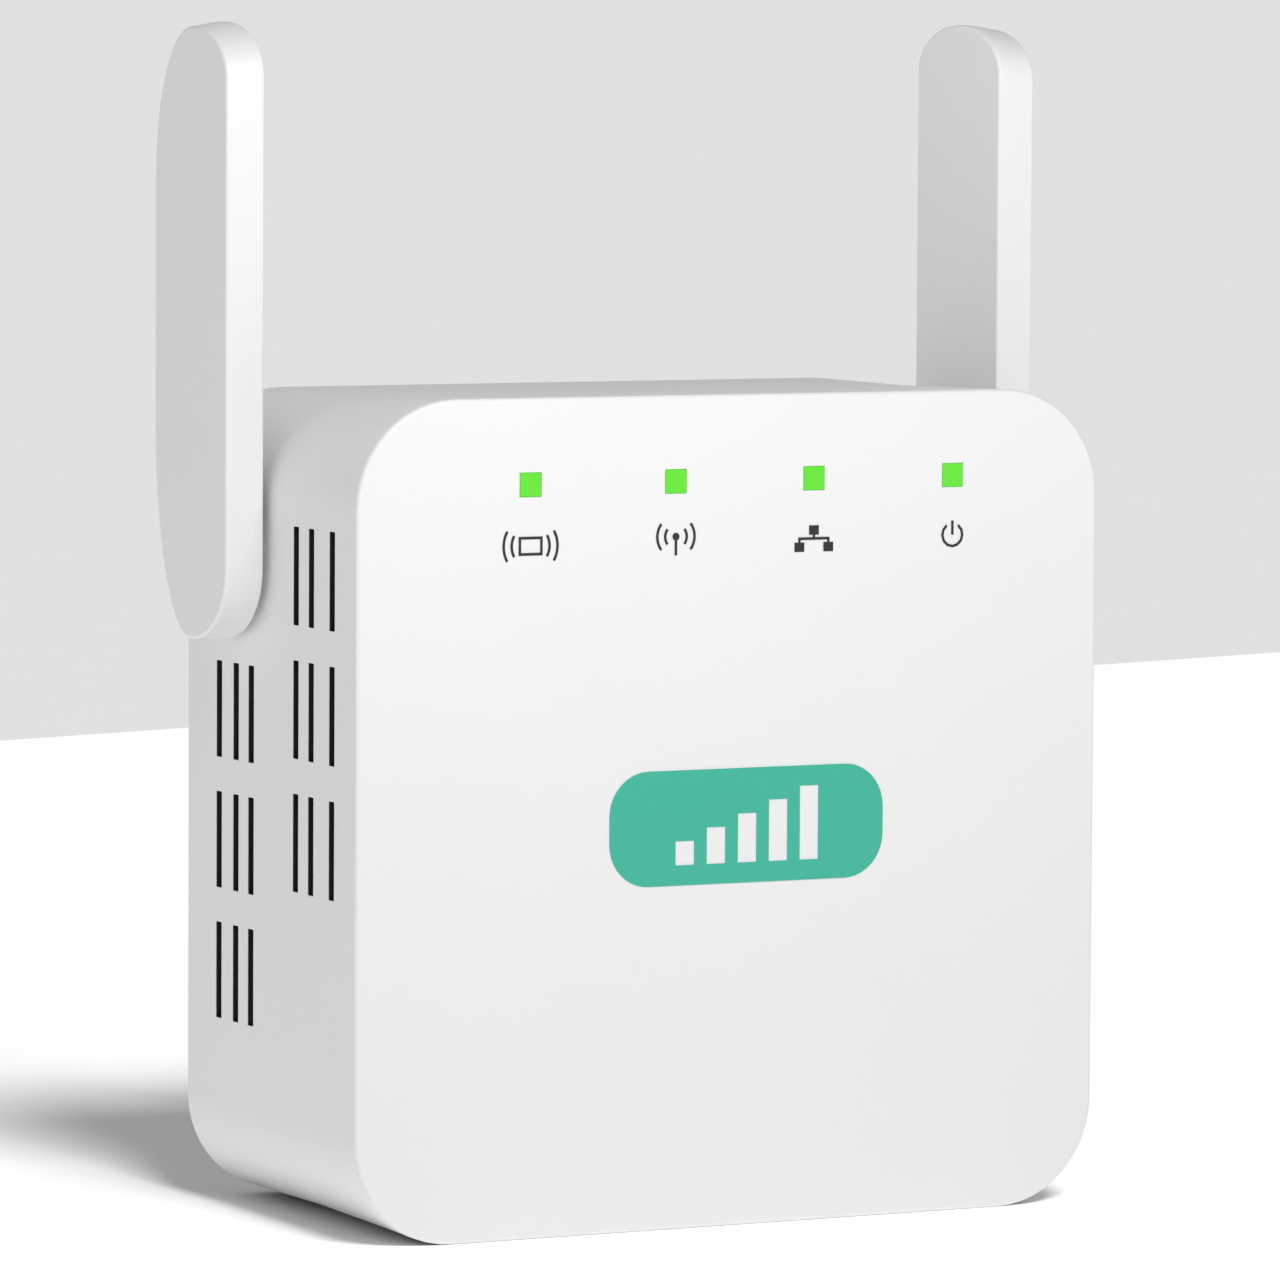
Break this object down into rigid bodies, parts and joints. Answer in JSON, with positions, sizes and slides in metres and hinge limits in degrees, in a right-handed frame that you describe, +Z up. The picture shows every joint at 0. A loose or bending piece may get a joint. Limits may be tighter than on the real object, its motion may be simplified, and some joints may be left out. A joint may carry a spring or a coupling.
{
  "type": "wifi range extender",
  "caption": "Square white plug-in wireless range extender with swinging flat side antennas, vented sides, front status lights and a round-pin mains plug on the back.",
  "frame": {"origin": "on the surface it stands on, under the middle of the outer box", "axes": "+Z up along the raised antennas, front cover faces -Y, plug pins point to +Y, +X to the right seen from the front"},
  "size_m": [0.084, 0.071, 0.1094],
  "materials": {
    "white_plastic": "fine satin moulded ABS",
    "teal_print": "printed film",
    "black_print": "pad print",
    "green_light": "clear acrylic light pipe, lit green",
    "led_resin": "clear resin",
    "label_film": "blank polyester label",
    "nickel": "nickel-plated brass",
    "black_plastic": "glass-filled nylon",
    "tan_board": "single-sided circuit board",
    "green_board": "glass-epoxy board with solder mask",
    "steel": "zinc-plated steel",
    "green_lacquer": "lacquered resistor",
    "blue_lacquer": "dipped epoxy",
    "chip_resin": "moulded epoxy",
    "ferrite": "sintered ferrite",
    "dark_sleeve": "shrink sleeve",
    "yellow_tape": "polyester tape over enamelled wire",
    "ivory_plastic": "nylon",
    "wire_jacket": "PVC insulation",
    "fish_paper": "polypropylene insulation sheet",
    "aluminium": "extruded, plain",
    "ceramic_chip": "sintered ceramic",
    "gold": "gold-plated phosphor bronze",
    "cable_jacket": "thin coaxial cable",
    "grey_plastic": "fine satin moulded ABS",
    "rubber": "nitrile friction washer"
  },
  "bodies": {
    "root": {"rear_housing": "white_plastic", "front_cover": "white_plastic", "badge": "teal_print", "light_symbols": "black_print", "light_pipe": "green_light", "status_lights": "led_resin", "rating_label": "label_film", "plug_insert": "white_plastic", "plug_pins": "nickel", "pin_sleeves": "black_plastic", "power_board": "tan_board", "power_board_screws": "steel", "fuse_resistor": "green_lacquer", "surge_disc": "blue_lacquer", "bridge_rectifier": "chip_resin", "input_choke": "ferrite", "input_capacitors": "dark_sleeve", "switching_chip": "chip_resin", "transformer_core": "ferrite", "transformer_winding": "yellow_tape", "transformer_bobbin": "black_plastic", "safety_capacitor": "blue_lacquer", "output_diode": "chip_resin", "output_capacitors": "dark_sleeve", "power_connector": "ivory_plastic", "power_leads": "wire_jacket", "insulation_sheet": "fish_paper", "main_board": "green_board", "board_screws": "steel", "radio_chip": "chip_resin", "heat_sink": "aluminium", "memory_chip": "chip_resin", "crystal": "steel", "lan_transformer": "chip_resin", "regulator_coil": "ferrite", "board_capacitors": "ceramic_chip", "lan_jack": "black_plastic", "jack_contacts": "gold", "antenna_connectors": "gold", "left_pigtail": "cable_jacket", "right_pigtail": "cable_jacket", "pairing_switch": "black_plastic", "reset_switch": "black_plastic"},
    "left_antenna": {"left_antenna_shell": "white_plastic", "left_antenna_base": "white_plastic", "left_antenna_element": "green_board", "left_antenna_lead": "cable_jacket", "left_hinge_clip": "steel", "left_hinge_washer": "rubber"},
    "right_antenna": {"right_antenna_shell": "white_plastic", "right_antenna_base": "white_plastic", "right_antenna_element": "green_board", "right_antenna_lead": "cable_jacket", "right_hinge_clip": "steel", "right_hinge_washer": "rubber"},
    "pairing_button": {"pairing_button": "grey_plastic", "pairing_stem": "ivory_plastic"},
    "reset_plunger": {"reset_stem": "ivory_plastic"}
  },
  "joints": [
    {"name": "left_antenna_swing", "type": "hinge", "parent": "root", "child": "left_antenna", "pos_m": [-0.0382, -0.00833, 0.0605], "axis": [1, 0, 0], "range_deg": [0, 180]},
    {"name": "right_antenna_swing", "type": "hinge", "parent": "root", "child": "right_antenna", "pos_m": [0.0382, -0.00833, 0.0605], "axis": [1, 0, 0], "range_deg": [0, 180]},
    {"name": "pairing_press", "type": "slide", "parent": "root", "child": "pairing_button", "axis": [0, 0, 1], "range_m": [0, 0.0003], "stiffness_N_per_m": 2000},
    {"name": "reset_press", "type": "slide", "parent": "root", "child": "reset_plunger", "axis": [0, 0, 1], "range_m": [0, 0.00025], "stiffness_N_per_m": 2000}
  ]
}
